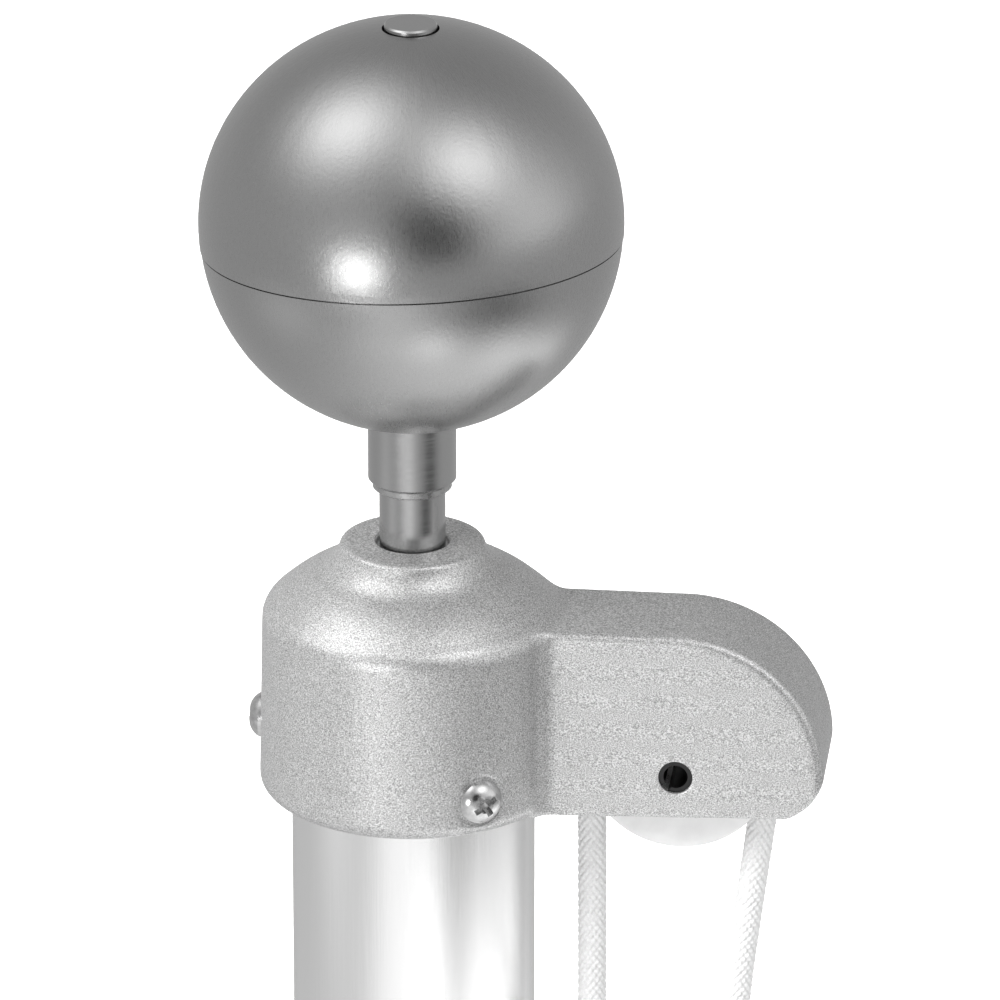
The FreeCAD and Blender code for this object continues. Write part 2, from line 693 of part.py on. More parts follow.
def snap_bolt():
    """Sliding bolt with its thumb stud."""
    pin = rod(BOLT_R, BOLT_TIP, BOLT_TOP, HOOK_HALF)
    pin = pin.makeFillet(0.5, edges_where(pin, lambda p: p.z < BOLT_TIP + 0.01))
    out = BARREL_R + 1.1
    stud = Part.makeCylinder(STUD_R, out, V(HOOK_HALF, -out, STUD_H), Y_AXIS)
    knob = Part.makeCylinder(KNOB_R, KNOB_T, V(HOOK_HALF, -out - 1.1, STUD_H), Y_AXIS)
    knob = knob.makeFillet(0.45, knob.Edges)
    return pin.fuse([stud, knob]).removeSplitter()


def snap_spring():
    """Coil spring in the barrel's blind bore, between its end and the bolt."""
    radius = BOLT_R - 1.5 * SPRING_WIRE_R
    low = BOLT_TOP + SPRING_WIRE_R + TOUCH_GAP
    high = BORE_TOP - SPRING_WIRE_R - TOUCH_GAP
    path = Part.makeHelix((high - low) / SPRING_TURNS, high - low, radius)
    section = Part.Wire([Part.makeCircle(SPRING_WIRE_R, V(radius, 0, 0), Y_AXIS)])
    spring = Part.Wire(path).makePipeShell([section], True, True)
    spring.translate(V(HOOK_HALF, 0, low))
    return spring


def placed(shape, x):
    """A snap hook's piece moved from the snap's own frame to the end of a fall."""
    shape.translate(V(x, 0, KNOT_TOP - EYE_DROP))
    return shape


def build():
    nodes = {
        "ball_upper_shell": ball_upper_shell(),
        "ball_lower_shell": ball_lower_shell(),
        "ball_top_washer": ball_top_washer(),
        "spindle": spindle(),
        "ball_collar": ball_collar(),
        "collar_snap_ring": collar_snap_ring(),
        "truck_casting": truck_casting(),
        "truck_screws": truck_screws(),
        "spindle_jam_nut": spindle_jam_nut(),
        "spindle_lock_washer": spindle_lock_washer(),
        "sheave": sheave(),
        "sheave_pin": sheave_pin(),
        "pole_tube": pole_tube(),
        "halyard": halyard(),
    }
    for letter, x in (("a", fall_a()), ("b", fall_b())):
        nodes["halyard_knot_" + letter] = halyard_knot(x)
        nodes["snap_%s_eye" % letter] = placed(snap_eye(), x)
        nodes["snap_%s_hook" % letter] = placed(snap_hook(), x)
        nodes["snap_%s_bolt" % letter] = placed(snap_bolt(), x)
        nodes["snap_%s_spring" % letter] = placed(snap_spring(), x)
    return nodes


def main():
    os.makedirs("parts", exist_ok=True)
    for name, shape in build().items():
        box = shape.BoundBox
        print("%-20s solids %d valid %s volume %.1f x %.1f..%.1f y %.1f..%.1f z %.1f..%.1f" % (
            name, len(shape.Solids), shape.isValid(), shape.Volume, box.XMin, box.XMax,
            box.YMin, box.YMax, box.ZMin, box.ZMax))
        shape.exportStep("parts/%s.step" % name)


main()
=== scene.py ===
"""Looks for the flagpole head: soft-edged casting, braided halyard, knots, finishes, studio, camera.

Metres, +Z up along the pole, +X along the pulley arm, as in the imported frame.
"""

import math

import bmesh
import bpy
import numpy as np
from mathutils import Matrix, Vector

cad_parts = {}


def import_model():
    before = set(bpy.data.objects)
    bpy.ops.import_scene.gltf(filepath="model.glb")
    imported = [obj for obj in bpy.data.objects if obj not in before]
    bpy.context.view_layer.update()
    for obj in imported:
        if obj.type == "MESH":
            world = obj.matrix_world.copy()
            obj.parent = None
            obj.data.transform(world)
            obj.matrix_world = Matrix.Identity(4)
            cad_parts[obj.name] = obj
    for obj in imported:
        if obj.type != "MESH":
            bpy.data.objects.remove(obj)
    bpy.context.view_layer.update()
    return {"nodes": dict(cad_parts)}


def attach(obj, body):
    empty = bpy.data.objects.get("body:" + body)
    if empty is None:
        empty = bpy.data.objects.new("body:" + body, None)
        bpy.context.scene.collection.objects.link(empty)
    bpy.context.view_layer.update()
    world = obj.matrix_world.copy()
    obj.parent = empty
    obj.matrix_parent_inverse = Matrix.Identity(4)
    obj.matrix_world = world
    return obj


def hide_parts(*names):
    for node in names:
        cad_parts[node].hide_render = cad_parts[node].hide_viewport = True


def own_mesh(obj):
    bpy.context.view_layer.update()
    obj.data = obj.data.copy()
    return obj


MM = 0.001
HEAD = "pole_head"  # the CAD body that everything fixed rides on

# Sizes of the CAD part that the looks are built on
EDGE_Z = 132.0  # the truck skirt's lower edge
BALL_R = 38.1
BALL_Z = EDGE_Z + 109.4
POLE_R = 22.225
PULLEY = (49.2, EDGE_Z + 8.5)  # x and z of the sheave's axis
ROPE_R = 2.65
PITCH_R = 16.2
LEAN = math.radians(7.0)  # of the outer fall, towards the pole as it goes down
KNOT_TOP = 85.0
KNOT_DROP = 15.0  # height of a knot
EYE_WIRE_Z = 64.1  # centre of the eye's wire where the knot's loop hangs it
LOOP_R = 4.55  # half the width of the knot's loop through the eye
SCREWS = [(180.0, 12.0), (-57.5, 7.0), (57.5, 7.0)]  # angle about the pole, height above the edge
SKIRT_R = 28.1  # at the skirt's lower edge
SKIRT_TAPER = 0.7 / 35.4  # the skirt narrows by this much per unit of height
SEAT_SINK = 0.45  # depth of a screw's spot face
PIN_HOLE_R = 3.12

# Which CAD nodes take which finish
SNAPS = ("snap_a_", "snap_b_")
FINISHES = {
    "spun_aluminium": ["ball_upper_shell", "ball_lower_shell"],
    "turned_aluminium": ["ball_collar", "spindle", "ball_top_washer"],
    "cast_aluminium": ["truck_casting"],
    "brushed_aluminium": ["pole_tube"],
    "stainless_steel": ["truck_screws"] + [s + part for s in SNAPS for part in ("eye", "hook", "bolt")],
    "zinc_steel": ["spindle_jam_nut", "spindle_lock_washer"],
    "spring_steel": ["collar_snap_ring", "snap_a_spring", "snap_b_spring"],
    "dark_steel": ["sheave_pin"],
    "nylon": ["sheave"],
    "polyester_rope": ["halyard", "halyard_knot_a", "halyard_knot_b"],
}


# Mesh helpers -----------------------------------------------------------------------------------


def new_object(name, mesh):
    made = bpy.data.objects.new(name, mesh)
    bpy.context.scene.collection.objects.link(made)
    return made


def mesh_from(name, points, faces):
    mesh = bpy.data.meshes.new(name)
    mesh.from_pydata([tuple(p) for p in points], [], faces)
    mesh.update()
    return mesh


def turned_mesh(name, profile, count):
    """Surface of revolution about Z. The profile is (r, z) in mm, and an end at r = 0 is closed."""
    points, faces, rings = [], [], []
    for r, z in profile:
        if r < 1e-6:
            rings.append([len(points)])
            points.append((0, 0, z * MM))
            continue
        start = len(points)
        for k in range(count):
            angle = 2 * math.pi * k / count
            points.append((r * MM * math.cos(angle), r * MM * math.sin(angle), z * MM))
        rings.append(list(range(start, start + count)))
    for a, b in zip(rings, rings[1:]):
        for k in range(count):
            n = (k + 1) % count
            if len(a) == 1:
                faces.append((a[0], b[n], b[k]))
            elif len(b) == 1:
                faces.append((a[k], a[n], b[0]))
            else:
                faces.append((a[k], a[n], b[n], b[k]))
    return mesh_from(name, points, faces)


def face_outwards(mesh):
    work = bmesh.new()
    work.from_mesh(mesh)
    bmesh.ops.recalc_face_normals(work, faces=work.faces)
    work.to_mesh(mesh)
    work.free()


def rod_mesh(name, radius, start, end, count=64):
    """Closed cylinder between two points, in mm."""
    start, end = Vector(start) * MM, Vector(end) * MM
    mesh = turned_mesh(name, [(0, 0), (radius, 0), (radius, (end - start).length / MM),
                              (0, (end - start).length / MM)], count)
    turn = (end - start).to_track_quat("Z", "Y").to_matrix().to_4x4()
    turn.translation = start
    mesh.transform(turn)
    return mesh


def joined(name, meshes):
    work = bmesh.new()
    for mesh in meshes:
        work.from_mesh(mesh)
    made = bpy.data.meshes.new(name)
    work.to_mesh(made)
    work.free()
    return made


def modified(obj):
    """The object's mesh with its modifiers applied."""
    graph = bpy.context.evaluated_depsgraph_get()
    graph.update()
    return bpy.data.meshes.new_from_object(obj.evaluated_get(graph))


# Casting ----------------------------------------------------------------------------------------

VOXEL, QUICK_VOXEL = 0.45, 0.9  # of the casting's remesh, in mm
SMOOTHING = 4  # passes that round the casting's edges


def screw_line(angle, height, near, far):
    """Two points on a screw's axis, at these distances from the pole's axis."""
    way = Vector((math.cos(math.radians(angle)), math.sin(math.radians(angle)), 0))
    lift = Vector((0, 0, EDGE_Z + height))
    return way * near + lift, way * far + lift


def casting_plugs():
    """Fills every machined hole, so that only the as-cast surface is softened."""
    x, z = PULLEY
    plugs = [
        rod_mesh("plug", 24.6, (0, 0, EDGE_Z), (0, 0, EDGE_Z + 22.4)),
        rod_mesh("plug", 18.2, (0, 0, EDGE_Z + 22), (0, 0, EDGE_Z + 33.5)),
        rod_mesh("plug", 7.2, (0, 0, EDGE_Z + 32), (0, 0, EDGE_Z + 47.9)),
        rod_mesh("plug", 3.2, (x, 5.2, z), (x, 12.3, z)),
        rod_mesh("plug", 3.2, (x, -5.2, z), (x, -12.3, z)),
    ]
    for angle, height in SCREWS:
        plugs.append(rod_mesh("plug", 4.9, *screw_line(angle, height, 20, 27.45)))
    return plugs


def casting_cutters():
    """The machined holes, cut again with sharp edges."""
    x, z = PULLEY
    # Radius and height above the edge: the pole's socket, the nut's cavity, then the spindle's hole
    bore = [(0, -4), (24.4, -4), (24.4, 0), (22.6, 0.8), (22.6, 22), (18, 22), (18, 30.8), (16, 32.8),
            (6.02, 32.8), (6.02, 46.9), (6.6, 46.9), (6.6, 47.55), (6.95, 47.9), (6.95, 50), (0, 50)]
    cutters = [
        turned_mesh("cutter", [(r, EDGE_Z + h) for r, h in bore], 160),
        rod_mesh("cutter", PIN_HOLE_R, (x, 5.0, z), (x, 16, z)),
        rod_mesh("cutter", PIN_HOLE_R, (x, -5.0, z), (x, -16, z)),
    ]
    for angle, height in SCREWS:
        seat = SKIRT_R - SKIRT_TAPER * height - SEAT_SINK
        cutters.append(rod_mesh("cutter", 4.8, *screw_line(angle, height, seat, 33)))
        cutters.append(rod_mesh("cutter", 2.15, *screw_line(angle, height, 21, 29)))
    return cutters


def soft_casting(source):
    """The casting with the rounded edges that a foundry mould leaves, and its holes machined after."""
    body = new_object("casting_blank", joined("casting_blank", [source.data] + casting_plugs()))
    remesh = body.modifiers.new("Remesh", "REMESH")
    remesh.mode = "VOXEL"
    remesh.voxel_size = VOXEL * MM
    smooth = body.modifiers.new("Smooth", "SMOOTH")
    smooth.factor = 0.5
    smooth.iterations = SMOOTHING
    casting = new_object("casting", modified(body))
    bpy.data.objects.remove(body)
    cutters = []
    for mesh in casting_cutters():
        face_outwards(mesh)
        cutter = new_object("cutter", mesh)
        cut = casting.modifiers.new("Cut", "BOOLEAN")
        cut.operation = "DIFFERENCE"
        cut.solver = "MANIFOLD"
        cut.object = cutter
        cutters.append(cutter)
    mesh = modified(casting)
    mesh.name = "casting"
    casting.modifiers.clear()
    casting.data = mesh
    for cutter in cutters:
        bpy.data.objects.remove(cutter)
    for face in mesh.polygons:
        face.use_smooth = True
    mesh.set_sharp_from_angle(angle=math.radians(38))
    return casting


# Rope -------------------------------------------------------------------------------------------


def spline_points(name, route):
    """Points along the smooth NURBS spline whose control points are the route's, in mm."""
    curve = bpy.data.curves.new(name, "CURVE")
    curve.dimensions = "3D"
    curve.resolution_u = 24
    spline = curve.splines.new("NURBS")
    spline.points.add(len(route) - 1)
    for point, place in zip(spline.points, route):
        point.co = (place[0] * MM, place[1] * MM, place[2] * MM, 1.0)
    spline.order_u = 3
    spline.use_endpoint_u = True
    holder = new_object(name, curve)
    mesh = bpy.data.meshes.new_from_object(holder)
    points = np.array([v.co for v in mesh.vertices], float)
    bpy.data.objects.remove(holder)
    bpy.data.meshes.remove(mesh)
    return points


def evenly(points, step):
    """The same line with its points a step apart."""
    lengths = np.r_[0, np.cumsum(np.linalg.norm(np.diff(points, axis=0), axis=1))]
    count = max(2, int(round(lengths[-1] / step)) + 1)
    at = np.linspace(0, lengths[-1], count)
    return np.stack([np.interp(at, lengths, points[:, k]) for k in range(3)], axis=1), at


def frames_along(points, first):
    """Two directions across the line at each point, carried along it without twisting."""
    along = np.gradient(points, axis=0)
    along /= np.linalg.norm(along, axis=1)[:, None]
    across = np.zeros_like(points)
    side = np.array(first, float)
    for k, way in enumerate(along):
        side = side - way * (side @ way)
        side /= np.linalg.norm(side)
        across[k] = side
    return across, np.cross(along, across)


PLAITS = 12  # strands turning each way round the rope
PLAIT_PITCH = 1.75 * MM  # distance along the rope from one crossing to the next
GROOVE_DEPTH = 0.56  # the grooves' bottom, below the rope's radius
STRAND_RISE = 0.6  # a strand's top, above the grooves' bottom
FALL_START = 12 * ROPE_R  # below the sheave's axis, where each fall has become straight
KNOT_BEND = 6.0  # the outer fall turns upright over this height above its knot
CORNER_LIFT = 0.25  # the spline cuts inside its corners, so those round the sheave stand this much out


def braid_height(turn, along):
    """Height of a two-over, two-under braid, from 0 in its grooves to 1 on its strands."""
    u = turn * PLAITS / (2 * math.pi)
    v = along / PLAIT_PITCH
    a, b = u + v, u - v
    cell_a, cell_b = np.floor(a), np.floor(b)
    across_a, across_b = a - cell_a - 0.5, b - cell_b - 0.5
    over = np.mod(cell_a - cell_b, 2) < 0.5
    strand = np.where(over, across_a, across_b)
    length = np.where(over, across_b, across_a)
    return np.sqrt(np.clip(1 - (strand * 2) ** 2, 0, 1)) * (1 - 0.45 * (length * 2) ** 2)


def braided_tube(name, points, first, sides, step):
    """Rope as one closed mesh tube, with the braid in its surface. The step is in mm."""
    line, at = evenly(points, step * MM)
    across, up = frames_along(line, first)
    turn = np.linspace(0, 2 * math.pi, sides, endpoint=False)
    grid_turn, grid_at = np.meshgrid(turn, at)
    height = braid_height(grid_turn, grid_at)
    radius = (ROPE_R - GROOVE_DEPTH + STRAND_RISE * height) * MM
    ring = (line[:, None, :]
            + radius[..., None] * (np.cos(grid_turn)[..., None] * across[:, None, :]
                                   + np.sin(grid_turn)[..., None] * up[:, None, :]))
    count = len(line)
    index = np.arange(count * sides).reshape(count, sides)
    right = np.roll(index, -1, axis=1)
    quads = np.stack([index[:-1], right[:-1], right[1:], index[1:]], axis=-1).reshape(-1, 4)
    faces = [tuple(q) for q in quads.tolist()]
    faces.append(tuple(index[0][::-1].tolist()))
    faces.append(tuple(index[-1].tolist()))
    mesh = mesh_from(name, ring.reshape(-1, 3), faces)
    for face in mesh.polygons:
        face.use_smooth = len(face.vertices) == 4
    return mesh


def halyard_route():
    """Control points of the rope: up the near fall, round the sheave, down the leaning fall."""
    x, z = PULLEY
    near = x - PITCH_R
    wrap = math.pi + LEAN
    corners = 4
    step = wrap / corners
    reach = PITCH_R / math.cos(step / 2) + CORNER_LIFT
    route = [(near, 0, KNOT_TOP), (near, 0, z - FALL_START)]
    for k in range(corners):
        angle = math.pi - step * (k + 0.5)
        route.append((x + reach * math.cos(angle), 0, z + reach * math.sin(angle)))
    far = (x + PITCH_R * math.cos(LEAN), z - PITCH_R * math.sin(LEAN))
    for drop in (FALL_START, (far[1] - KNOT_TOP - KNOT_BEND) / math.cos(LEAN)):
        route.append((far[0] - drop * math.sin(LEAN), 0, far[1] - drop * math.cos(LEAN)))
    route.append((route[-1][0], 0, KNOT_TOP))
    return route


def knot_route(x):
    """Control points of a barrel hitch: down the core, round the eye, wraps upwards, short tail."""
    low = KNOT_TOP - KNOT_DROP
    bottom = EYE_WIRE_Z - LOOP_R - 0.1
    route = [(x, 0, KNOT_TOP), (x, 0, KNOT_TOP - 5), (x, 1.2, low + 5), (x, LOOP_R, low + 0.5)]
    for side in (1, -1):
        turn = [(LOOP_R, EYE_WIRE_Z + 2.5), (LOOP_R, EYE_WIRE_Z - 3.2), (1.6, bottom)]
        route += [(x, side * y, z) for y, z in turn[::side]]
    route.append((x, -LOOP_R, low + 0.2))
    turns, per_turn, wrap_r = 2.0, 10, 5.25
    for k in range(1, int(turns * per_turn) + 1):
        angle = -math.pi / 2 + 2 * math.pi * k / per_turn
        height = low + 2.4 + 2 * ROPE_R * k / per_turn
        route.append((x + wrap_r * math.cos(angle), wrap_r * math.sin(angle), height))
    route += [(x + 2.6, -4.4, KNOT_TOP - 1.4), (x + 3.2, -4.6, KNOT_TOP + 1.0)]
    return route


# Materials --------------------------------------------------------------------------------------


def new_material(name, color, metallic, roughness):
    material = bpy.data.materials.new(name)
    material.use_nodes = True
    tree = material.node_tree
    shader = tree.nodes["Principled BSDF"]
    shader.inputs["Base Color"].default_value = (*color, 1)
    shader.inputs["Metallic"].default_value = metallic
    shader.inputs["Roughness"].default_value = roughness
    return material, tree, shader


def add(tree, kind, inputs=None, **settings):
    """A node with its settings, and its inputs given as values or as sockets to link."""
    node = tree.nodes.new(kind)
    for key, value in settings.items():
        setattr(node, key, value)
    for key, value in (inputs or {}).items():
        if isinstance(value, bpy.types.NodeSocket):
            tree.links.new(value, node.inputs[key])
        else:
            node.inputs[key].default_value = value
    return node


def place(tree):
    return add(tree, "ShaderNodeTexCoord").outputs["Object"]


def stretched(tree, scale):
    return add(tree, "ShaderNodeMapping", {"Vector": place(tree), "Scale": scale}).outputs["Vector"]


def around_axis(tree, turn_scale, z_scale):
    """Coordinates for marks that run along the pole: constant along z, fine round the axis."""
    parts = add(tree, "ShaderNodeSeparateXYZ", {"Vector": place(tree)})
    flat = add(tree, "ShaderNodeCombineXYZ", {"X": parts.outputs["X"], "Y": parts.outputs["Y"]})
    way = add(tree, "ShaderNodeVectorMath", {0: flat.outputs["Vector"]}, operation="NORMALIZE")
    lift = add(tree, "ShaderNodeMath", {0: parts.outputs["Z"], 1: z_scale / turn_scale},
               operation="MULTIPLY")
    high = add(tree, "ShaderNodeCombineXYZ", {"Z": lift.outputs[0]})
    total = add(tree, "ShaderNodeVectorMath", {0: way.outputs[0], 1: high.outputs[0]}, operation="ADD")
    scaled = add(tree, "ShaderNodeVectorMath", {0: total.outputs[0], "Scale": turn_scale},
                 operation="SCALE")
    return scaled.outputs[0]


def noise(tree, vector, scale, detail=3.0, rough=0.55):
    return add(tree, "ShaderNodeTexNoise", {
        "Vector": vector, "Scale": scale, "Detail": detail, "Roughness": rough}).outputs["Fac"]


def remap(tree, value, low, high, new_low, new_high):
    return add(tree, "ShaderNodeMapRange", {
        "Value": value, "From Min": low, "From Max": high, "To Min": new_low, "To Max": new_high,
    }).outputs["Result"]


def grey_from(tree, value):
    return add(tree, "ShaderNodeCombineColor", {"Red": value, "Green": value, "Blue": value}).outputs[0]


def bump(tree, height, strength, distance, normal=None):
    inputs = {"Height": height, "Strength": strength, "Distance": distance}
    if normal is not None:
        inputs["Normal"] = normal
    return add(tree, "ShaderNodeBump", inputs).outputs["Normal"]


def link(tree, value, shader, name):
    """Feeds a value into one of the shader's inputs."""
    tree.links.new(value, shader.inputs[name])


def spun_aluminium():
    """Satin anodised ball: fine marks along its meridians and a faint orange peel."""
    material, tree, shader = new_material("spun_aluminium", (0.43, 0.43, 0.43), 1.0, 0.25)
    marks = noise(tree, around_axis(tree, 60.0, 140.0), 6.0, 4.0, 0.7)
    peel = noise(tree, place(tree), 1500.0, 2.0, 0.5)
    link(tree, grey_from(tree, remap(tree, marks, 0.3, 0.7, 0.4, 0.46)), shader, "Base Color")
    link(tree, remap(tree, marks, 0.3, 0.7, 0.24, 0.34), shader, "Roughness")
    normal = bump(tree, peel, 0.12, 0.0002)
    link(tree, bump(tree, marks, 0.06, 0.0003, normal), shader, "Normal")
    return material


def turned_aluminium():
    """Lathe-turned parts: tight rings round the axis."""
    material, tree, shader = new_material("turned_aluminium", (0.47, 0.47, 0.47), 1.0, 0.22)
    rings = noise(tree, stretched(tree, (60.0, 60.0, 4200.0)), 1.0, 3.0, 0.6)
    link(tree, remap(tree, rings, 0.3, 0.7, 0.18, 0.26), shader, "Roughness")
    link(tree, bump(tree, rings, 0.05, 0.0001), shader, "Normal")
    return material


def cast_aluminium():
    """Tumbled casting: a dense sparkling grain over broad, faint unevenness."""
    material, tree, shader = new_material("cast_aluminium", (0.5, 0.5, 0.5), 0.76, 0.35)
    grain = noise(tree, place(tree), 4200.0, 2.0, 0.7)
    fleck = noise(tree, stretched(tree, (4000.0, 4000.0, 5000.0)), 1.0, 1.0, 0.6)
    broad = noise(tree, place(tree), 90.0, 3.0, 0.5)
    link(tree, grey_from(tree, remap(tree, fleck, 0.32, 0.68, 0.27, 0.79)), shader, "Base Color")
    link(tree, remap(tree, broad, 0.3, 0.7, 0.32, 0.38), shader, "Roughness")
    low = bump(tree, broad, 0.2, 0.0005)
    link(tree, bump(tree, grain, 0.16, 0.0003, low), shader, "Normal")
    return material


def brushed_aluminium():
    """Extruded pole: long fine lines up its length."""
    material, tree, shader = new_material("brushed_aluminium", (0.95, 0.95, 0.95), 1.0, 0.22)
    lines = noise(tree, around_axis(tree, 60.0, 8.0), 5.0, 4.0, 0.65)
    link(tree, grey_from(tree, remap(tree, lines, 0.3, 0.7, 0.92, 0.98)), shader, "Base Color")
    link(tree, remap(tree, lines, 0.3, 0.7, 0.16, 0.26), shader, "Roughness")
    link(tree, bump(tree, lines, 0.12, 0.0002), shader, "Normal")
    return material


def plain_steel(name, tone, low, high):
    """Machined or plated steel with small changes of gloss and tone."""
    material, tree, shader = new_material(name, (tone, tone, tone), 1.0, low)
    wear = noise(tree, place(tree), 700.0, 4.0, 0.6)
    fine = noise(tree, place(tree), 4000.0, 2.0, 0.5)
    shade = remap(tree, wear, 0.3, 0.7, tone * 0.85, tone * 1.1)
    link(tree, grey_from(tree, shade), shader, "Base Color")
    link(tree, remap(tree, wear, 0.3, 0.7, low, high), shader, "Roughness")
    link(tree, bump(tree, fine, 0.08, 0.0001), shader, "Normal")
    return material


def nylon():
    """Milky white moulded nylon with a soft gloss."""
    material, tree, shader = new_material("nylon", (0.86, 0.86, 0.86), 0.0, 0.38)
    shader.inputs["Subsurface Weight"].default_value = 0.6
    shader.inputs["Subsurface Radius"].default_value = (1.0, 1.0, 1.0)
    shader.inputs["Subsurface Scale"].default_value = 0.0025
    cloud = noise(tree, place(tree), 260.0, 3.0, 0.5)
    link(tree, grey_from(tree, remap(tree, cloud, 0.3, 0.7, 0.72, 0.8)), shader, "Base Color")
    link(tree, remap(tree, cloud, 0.3, 0.7, 0.34, 0.46), shader, "Roughness")
    link(tree, bump(tree, noise(tree, place(tree), 3000.0, 2.0), 0.06, 0.0001), shader, "Normal")
    return material


def polyester_rope():
    """White polyester yarn: fine filaments with a silky sheen."""
    material, tree, shader = new_material("polyester_rope", (0.83, 0.83, 0.83), 0.0, 0.55)
    shader.inputs["Sheen Weight"].default_value = 0.3
    shader.inputs["Sheen Roughness"].default_value = 0.4
    shader.inputs["Subsurface Weight"].default_value = 0.25
    shader.inputs["Subsurface Radius"].default_value = (1.0, 1.0, 1.0)
    shader.inputs["Subsurface Scale"].default_value = 0.0006
    fibre = noise(tree, place(tree), 5200.0, 3.0, 0.7)
    link(tree, grey_from(tree, remap(tree, fibre, 0.3, 0.7, 0.66, 0.84)), shader, "Base Color")
    link(tree, bump(tree, fibre, 0.35, 0.00015), shader, "Normal")
    return material


def finish_of_slots():
    return {
        "spun_aluminium": spun_aluminium(),
        "turned_aluminium": turned_aluminium(),
        "cast_aluminium": cast_aluminium(),
        "brushed_aluminium": brushed_aluminium(),
        "stainless_steel": plain_steel("stainless_steel", 0.66, 0.14, 0.26),
        "zinc_steel": plain_steel("zinc_steel", 0.62, 0.28, 0.42),
        "spring_steel": plain_steel("spring_steel", 0.5, 0.22, 0.34),
        "dark_steel": plain_steel("dark_steel", 0.05, 0.3, 0.45),
        "nylon": nylon(),
        "polyester_rope": polyester_rope(),
    }


def paint(obj, material):
    obj.data.materials.clear()
    obj.data.materials.append(material)


# Studio -----------------------------------------------------------------------------------------


def direction(azimuth, elevation):
    """Unit vector: azimuth 0 is towards -Y (the front) and 90 towards +X, in degrees."""
    a, e = math.radians(azimuth), math.radians(elevation)
    return Vector((math.sin(a) * math.cos(e), -math.cos(a) * math.cos(e), math.sin(e)))


# Soft patches of the sky: azimuth, elevation, sharpness, added brightness. A negative one darkens.
SKY_PATCHES = [
    (-74.0, 60.0, 14.0, 2.05),
    (51.0, 50.0, 16.0, 1.85),
    (18.5, 13.7, 16.0, -1.0),
    (80.0, 8.0, 8.0, 0.6),
    (-10.0, -4.0, 6.0, 0.3),
]
SKY_LOW, SKY_HIGH = 0.51, 0.35  # brightness at the horizon and near the zenith
LEAST_LIGHT = 0.04  # the sky and the light pool are nowhere darker

# Soft patches of the light pool: x, y and spread in metres, added brightness
FLOOR_PATCHES = [
    (-0.36, -0.15, 0.13, 0.3),
    (-0.02, -0.46, 0.14, 0.7),
    (0.36, -0.26, 0.17, -0.5),
    (0.08, -0.08, 0.17, 0.6),
    (0.2, -0.07, 0.07, 0.7),
    (0.2, 0.06, 0.07, 0.8),
    (0.08, -0.22, 0.05, 1.3),
    (-0.06, -0.24, 0.09, 0.35),
]
FLOOR_LIGHT = 0.5
ROOM_R = 8.0  # the floor and backdrop that the camera sees
POOL_R = 14.0  # the unseen floor that surfaces reflect
DISC_SIDES = 64

# Lamps: azimuth, elevation, distance in metres, size in metres, watts, and whether reflections show it.
# The low one makes the ball's lowest highlight, and the others bring out the matt surfaces.
LAMPS = {
    "low_light": (-21.8, -7.5, 0.8, 0.25, 0.9, True),
    "key": (-58.0, 38.0, 1.5, 0.9, 45.0, False),
    "fill": (8.0, 5.0, 1.5, 0.5, 6.0, False),
}

CAMERA_AZIMUTH = math.radians(6.8)
CAMERA_YAW, CAMERA_PITCH = 0.0099, 0.39015  # radians
CAMERA_REACH, CAMERA_HEIGHT = 1.6, 0.8455  # metres from the pole's axis, and above the floor
LENS = 344.5


def add_patches(tree, total, patches):
    """Adds soft patches to a brightness, and keeps it off black. A patch is (exponent, amount)."""
    for exponent, amount in patches:
        lobe = add(tree, "ShaderNodeMath", {0: exponent}, operation="EXPONENT")
        total = add(tree, "ShaderNodeMath", {0: lobe.outputs[0], 1: amount, 2: total},
                    operation="MULTIPLY_ADD").outputs[0]
    return add(tree, "ShaderNodeMath", {0: total, 1: LEAST_LIGHT}, operation="MAXIMUM").outputs[0]


def sky():
    world = bpy.data.worlds.new("studio")
    bpy.context.scene.world = world
    world.use_nodes = True
    tree = world.node_tree
    way = add(tree, "ShaderNodeTexCoord").outputs["Generated"]
    height = add(tree, "ShaderNodeSeparateXYZ", {"Vector": way}).outputs["Z"]
    patches = []
    for azimuth, elevation, sharpness, amount in SKY_PATCHES:
        toward = tuple(direction(azimuth, elevation))
        dot = add(tree, "ShaderNodeVectorMath", {0: way, 1: toward}, operation="DOT_PRODUCT")
        fall = add(tree, "ShaderNodeMath", {0: dot.outputs["Value"], 1: sharpness, 2: -sharpness},
                   operation="MULTIPLY_ADD")
        patches.append((fall.outputs[0], amount))
    total = add_patches(tree, remap(tree, height, 0.0, 0.9, SKY_LOW, SKY_HIGH), patches)
    tree.links.new(grey_from(tree, total), tree.nodes["Background"].inputs["Color"])


def disc(name, radius, z):
    points = []
    for k in range(DISC_SIDES):
        angle = 2 * math.pi * k / DISC_SIDES
        points.append((radius * math.cos(angle), radius * math.sin(angle), z))
    return new_object(name, mesh_from(name, points, [tuple(range(DISC_SIDES))]))


def pale(name, glow):
    """Plain white that is lit by the lights and glows a little of its own."""
    material, _, shader = new_material(name, (0.8, 0.8, 0.8), 0.0, 0.9)
    shader.inputs["Emission Color"].default_value = (1, 1, 1, 1)
    shader.inputs["Emission Strength"].default_value = glow
    return material


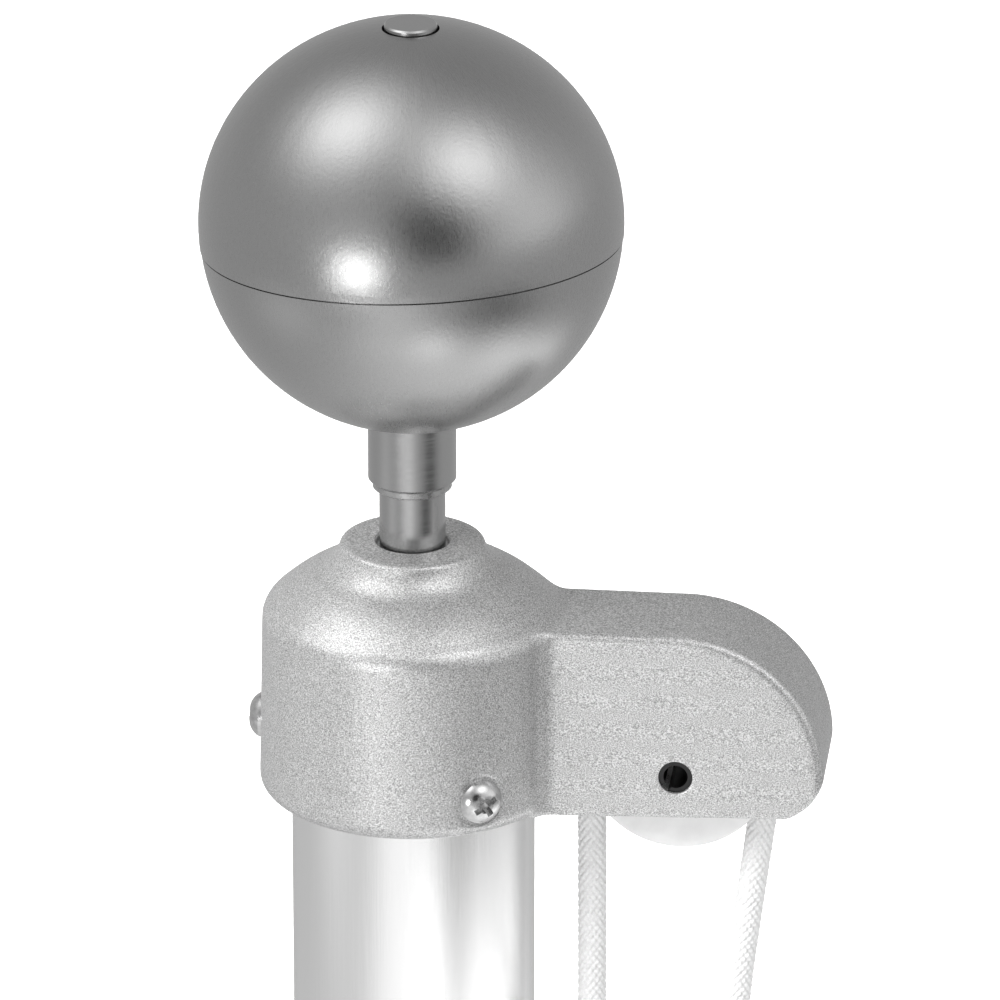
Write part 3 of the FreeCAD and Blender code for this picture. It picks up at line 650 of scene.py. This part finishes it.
def light_pool():
    """Unseen floor that gives the polished surfaces soft patches of light to reflect."""
    pool = disc("light_pool", POOL_R, -0.001)
    pool.visible_camera = False
    material = bpy.data.materials.new("light_pool")
    material.use_nodes = True
    tree = material.node_tree
    tree.nodes.clear()
    parts = add(tree, "ShaderNodeSeparateXYZ", {"Vector": place(tree)})
    patches = []
    for x, y, spread, amount in FLOOR_PATCHES:
        squares = []
        for axis, centre in (("X", x), ("Y", y)):
            off = add(tree, "ShaderNodeMath", {0: parts.outputs[axis], 1: centre}, operation="SUBTRACT")
            squares.append(add(tree, "ShaderNodeMath", {0: off.outputs[0], 1: 2.0}, operation="POWER"))
        both = add(tree, "ShaderNodeMath", {0: squares[0].outputs[0], 1: squares[1].outputs[0]},
                   operation="ADD")
        fall = add(tree, "ShaderNodeMath", {0: both.outputs[0], 1: -1 / spread ** 2},
                   operation="MULTIPLY")
        patches.append((fall.outputs[0], amount))
    total = add_patches(tree, FLOOR_LIGHT, patches)
    glow = add(tree, "ShaderNodeEmission", {"Strength": total})
    end = add(tree, "ShaderNodeOutputMaterial")
    tree.links.new(glow.outputs[0], end.inputs["Surface"])
    paint(pool, material)
    return pool


def stage():
    """The floor and backdrop that the camera sees, and the pool of light that surfaces reflect."""
    floor = disc("floor", ROOM_R, 0.0)
    paint(floor, pale("floor", 0.55))
    edge = ROOM_R / MM
    wall = new_object("backdrop", turned_mesh("backdrop", [(edge, -20), (edge, edge)], DISC_SIDES))
    paint(wall, pale("backdrop", 1.0))
    for seen in (floor, wall):
        seen.visible_diffuse = False
        seen.visible_glossy = False
        seen.visible_shadow = False
    light_pool()


def softbox(name, azimuth, elevation, reach, size, power):
    """Square soft light, looking at the ball's height on the pole's axis."""
    data = bpy.data.lights.new(name, "AREA")
    data.size = size
    data.energy = power
    made = new_object(name, data)
    way = direction(azimuth, elevation)
    made.location = Vector((0, 0, BALL_Z * MM)) + way * reach
    made.rotation_euler = way.to_track_quat("Z", "Y").to_euler()
    made.visible_camera = False
    return made


def lights():
    for name, (azimuth, elevation, reach, size, power, reflected) in LAMPS.items():
        softbox(name, azimuth, elevation, reach, size, power).visible_glossy = reflected


def camera():
    data = bpy.data.cameras.new("camera")
    data.sensor_width = 36.0
    data.lens = LENS
    data.clip_start = 0.05
    data.clip_end = 60.0
    made = new_object("camera", data)
    made.location = (CAMERA_REACH * math.sin(CAMERA_AZIMUTH), -CAMERA_REACH * math.cos(CAMERA_AZIMUTH),
                     CAMERA_HEIGHT)
    made.rotation_euler = (math.pi / 2 - CAMERA_PITCH, 0, CAMERA_AZIMUTH - CAMERA_YAW)
    bpy.context.scene.camera = made


# Assembly ---------------------------------------------------------------------------------------


def stands_for(piece, node, body, slot, finishes):
    """Paints a piece, and puts it in the place of its CAD node."""
    paint(piece, finishes[slot])
    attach(piece, body)
    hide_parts(node)


def squashed_spring(coil, finishes):
    """A snap's spring, copied with its own mesh, painted and put in the place of its CAD node. Its node
    is named like snap_a_spring.
    """
    snap = coil.name[:len("snap_a")]
    spring = new_object("spring_" + snap[-1], coil.data.copy())
    stands_for(spring, coil.name, snap, "spring_steel", finishes)
    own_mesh(spring)
    return spring


def corners(box):
    return [list(box[0]), list(box[1])]


def main():
    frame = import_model()
    nodes = frame["nodes"]
    finishes = finish_of_slots()
    for slot, names in FINISHES.items():
        for name in names:
            paint(nodes[name], finishes[slot])

    casting = soft_casting(nodes["truck_casting"])
    stands_for(casting, "truck_casting", HEAD, "cast_aluminium", finishes)

    for letter, x in (("a", halyard_route()[0][0]), ("b", halyard_route()[-1][0])):
        line = spline_points("knot_line", knot_route(x))
        knot = new_object("knot_" + letter, braided_tube("knot", line, (1, 0, 0), sides=48, step=0.35))
        stands_for(knot, "halyard_knot_" + letter, HEAD, "polyester_rope", finishes)

    line = spline_points("halyard_line", halyard_route())
    rope = new_object("rope", braided_tube("rope", line, (0, 1, 0), sides=96, step=0.2))
    stands_for(rope, "halyard", HEAD, "polyester_rope", finishes)
    coils = ["snap_a_spring", "snap_b_spring"]
    springs = [squashed_spring(nodes[name], finishes) for name in coils]

    camera()
    sky()
    stage()
    lights()
    bpy.context.scene.view_settings.view_transform = "Standard"


main()
